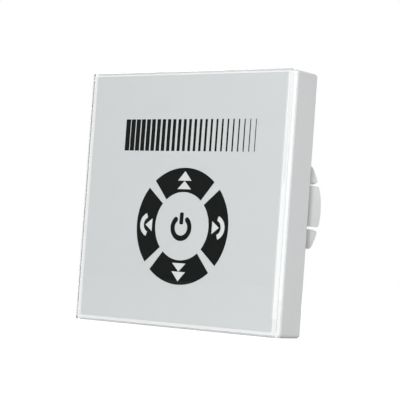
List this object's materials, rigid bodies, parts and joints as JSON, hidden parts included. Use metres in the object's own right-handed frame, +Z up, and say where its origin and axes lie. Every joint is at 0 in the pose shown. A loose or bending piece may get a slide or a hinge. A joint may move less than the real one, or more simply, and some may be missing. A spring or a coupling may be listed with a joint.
{
  "type": "touch dimmer switch",
  "caption": "Square glass-fronted touch dimmer switch that snaps over a flanged rear unit with a round toothed cup, screw terminals and wall box screw holes.",
  "frame": {"origin": "centre of the wall plane, on the axis of the round cup", "axes": "+X to the right as seen from the room, +Y into the wall, +Z up"},
  "size_m": [0.086, 0.0439, 0.086],
  "materials": {
    "glass": "polished",
    "print_film": "gloss",
    "tape": "matt",
    "frame_plastic": "fine satin",
    "housing_plastic": "satin",
    "cover_plastic": "satin",
    "board": "solder mask",
    "copper": "gold plated",
    "chip": "matt",
    "lamp": "clear cast",
    "link_plastic": "matt",
    "terminal_plastic": "semi-gloss",
    "plated_steel": "zinc plated",
    "tinned": "tinned",
    "can": "satin",
    "ferrite": "matt"
  },
  "bodies": {
    "rear_unit": {"rear_housing": "housing_plastic", "inner_cover": "cover_plastic", "cover_screws": "plated_steel", "board_screws": "plated_steel", "power_board": "board", "link_socket": "link_plastic", "terminal_block": "terminal_plastic", "contact_bars": "tinned", "capacitors": "can", "choke": "ferrite", "power_transistors": "chip", "fuse": "tinned", "dimmer_chip": "chip", "supply_chip": "chip"},
    "front_unit": {"glass_panel": "glass", "printed_film": "print_film", "mounting_tape": "tape", "front_frame": "frame_plastic", "touch_board": "board", "touch_electrodes": "copper", "indicator_lamps": "lamp", "touch_chip": "chip", "pin_strip": "link_plastic", "link_pins": "copper"},
    "screw_1": {"terminal_screw_1": "plated_steel"},
    "cage_1": {"clamp_cage_1": "tinned"},
    "screw_2": {"terminal_screw_2": "plated_steel"},
    "cage_2": {"clamp_cage_2": "tinned"},
    "screw_3": {"terminal_screw_3": "plated_steel"},
    "cage_3": {"clamp_cage_3": "tinned"},
    "screw_4": {"terminal_screw_4": "plated_steel"},
    "cage_4": {"clamp_cage_4": "tinned"}
  },
  "joints": [
    {"name": "front_unit_slide", "type": "slide", "parent": "rear_unit", "child": "front_unit", "axis": [0, -1, 0], "range_m": [0, 0.025]},
    {"name": "screw_1_turn", "type": "hinge", "parent": "rear_unit", "child": "screw_1", "pos_m": [-0.00762, 0.024, 0.0022], "axis": [0, -1, 0], "range_deg": [0, 1920]},
    {"name": "cage_1_slide", "type": "slide", "parent": "rear_unit", "child": "cage_1", "axis": [0, 1, 0], "range_m": [0, 0.0024]},
    {"name": "screw_2_turn", "type": "hinge", "parent": "rear_unit", "child": "screw_2", "pos_m": [-0.00254, 0.024, 0.0022], "axis": [0, -1, 0], "range_deg": [0, 1920]},
    {"name": "cage_2_slide", "type": "slide", "parent": "rear_unit", "child": "cage_2", "axis": [0, 1, 0], "range_m": [0, 0.0024]},
    {"name": "screw_3_turn", "type": "hinge", "parent": "rear_unit", "child": "screw_3", "pos_m": [0.00254, 0.024, 0.0022], "axis": [0, -1, 0], "range_deg": [0, 1920]},
    {"name": "cage_3_slide", "type": "slide", "parent": "rear_unit", "child": "cage_3", "axis": [0, 1, 0], "range_m": [0, 0.0024]},
    {"name": "screw_4_turn", "type": "hinge", "parent": "rear_unit", "child": "screw_4", "pos_m": [0.00762, 0.024, 0.0022], "axis": [0, -1, 0], "range_deg": [0, 1920]},
    {"name": "cage_4_slide", "type": "slide", "parent": "rear_unit", "child": "cage_4", "axis": [0, 1, 0], "range_m": [0, 0.0024]}
  ],
  "couplings": [
    {"joint": "screw_1_turn", "follows": "cage_1_slide", "rad_per_m": 13963},
    {"joint": "screw_2_turn", "follows": "cage_2_slide", "rad_per_m": 13963},
    {"joint": "screw_3_turn", "follows": "cage_3_slide", "rad_per_m": 13963},
    {"joint": "screw_4_turn", "follows": "cage_4_slide", "rad_per_m": 13963}
  ]
}
